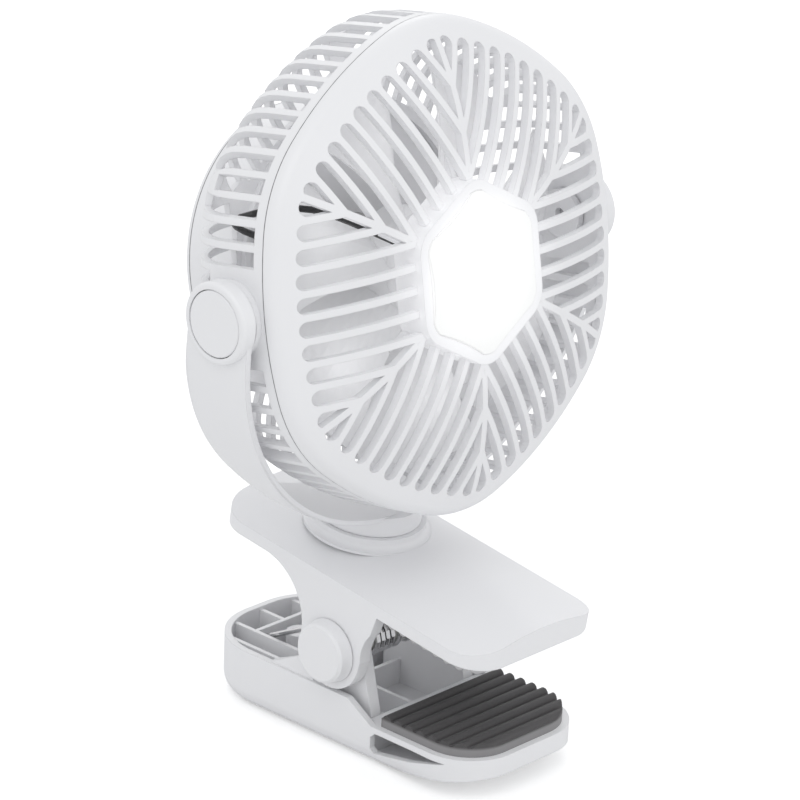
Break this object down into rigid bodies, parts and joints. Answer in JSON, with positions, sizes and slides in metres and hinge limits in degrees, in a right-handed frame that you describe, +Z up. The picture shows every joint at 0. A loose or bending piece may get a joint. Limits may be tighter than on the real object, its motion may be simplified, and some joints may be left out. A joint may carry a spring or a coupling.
{
  "type": "portable camping fan",
  "caption": "Clip-on camping fan with a central lamp: slotted hexagonal cage and battery drum tilting in a U yoke that swivels on a sprung jaw clamp with rubber pads.",
  "frame": {"origin": "on the lower jaw's flat underside, 7 mm ahead of the hinge pin, half way between its sides", "axes": "+Z up from the underside, the fan faces -Y, +X along the hinge pin and the tilt pivots"},
  "size_m": [0.176, 0.1311, 0.2484],
  "materials": {
    "white_shell": "fine satin moulded ABS",
    "white_blades": "satin moulded polypropylene",
    "white_sleeve": "natural nylon",
    "grey_keys": "smooth gloss",
    "lamp_diffuser": "opal diffuser",
    "lamp_board": "white solder mask with chips",
    "black_cable": "soft PVC",
    "grey_rubber": "matte ribbed rubber",
    "dark_washer": "matte",
    "steel": "bright zinc",
    "motor_can": "drawn can",
    "port_shell": "bright nickel",
    "cell_wrap": "shrink wrap",
    "green_board": "solder mask",
    "blue_lights": "clear light pipe"
  },
  "bodies": {
    "base": {"lower_jaw": "white_shell", "lower_pad": "grey_rubber", "hinge_pin": "steel", "hinge_cap_left": "white_shell", "hinge_cap_right": "white_shell", "pin_sleeve": "white_sleeve", "clamp_spring": "steel"},
    "upper": {"upper_jaw": "white_shell", "upper_pad": "grey_rubber", "spring_arm": "steel"},
    "yoke": {"yoke": "white_shell", "pivot_cap_left": "white_shell", "pivot_cap_right": "white_shell", "swivel_retainer": "steel", "swivel_screw": "steel"},
    "head": {"front_grille": "white_shell", "lamp_lens": "lamp_diffuser", "led_board": "lamp_board", "led_lead": "black_cable", "motor_body": "motor_can", "rear_shell": "white_shell", "battery_case": "white_shell", "battery_cells": "cell_wrap", "main_board": "green_board", "usb_port": "port_shell", "back_cover": "white_shell", "cover_screws": "steel", "charge_lights": "blue_lights", "pivot_stub_left": "white_shell", "pivot_stub_right": "white_shell", "pivot_screw_left": "steel", "pivot_screw_right": "steel", "friction_washer_left": "dark_washer", "friction_washer_right": "dark_washer"},
    "fan": {"fan_impeller": "white_blades", "motor_shaft": "steel"},
    "fan_key": {"fan_button": "grey_keys"},
    "light_key": {"light_button": "grey_keys"}
  },
  "joints": [
    {"name": "jaw_hinge", "type": "hinge", "parent": "base", "child": "upper", "pos_m": [0, 0.007, 0.036], "axis": [1, 0, 0], "range_deg": [-20, 21], "stiffness_Nm_per_rad": 4},
    {"name": "yoke_swivel", "type": "hinge", "parent": "upper", "child": "yoke", "pos_m": [0, 0.02106, 0.06888], "axis": [0, -0.1392, 0.9903], "continuous": true},
    {"name": "head_tilt", "type": "hinge", "parent": "yoke", "child": "head", "pos_m": [0, 0.00756, 0.16493], "axis": [1, 0, 0], "range_deg": [-72.5, 107.5]},
    {"name": "fan_spin", "type": "hinge", "parent": "head", "child": "fan", "pos_m": [0, 0.00756, 0.16493], "axis": [0, -0.9863, 0.165], "continuous": true},
    {"name": "fan_press", "type": "slide", "parent": "head", "child": "fan_key", "axis": [0, -0.9863, 0.165], "range_m": [0, 0.0012], "stiffness_N_per_m": 900},
    {"name": "light_press", "type": "slide", "parent": "head", "child": "light_key", "axis": [0, -0.9863, 0.165], "range_m": [0, 0.0012], "stiffness_N_per_m": 900}
  ]
}
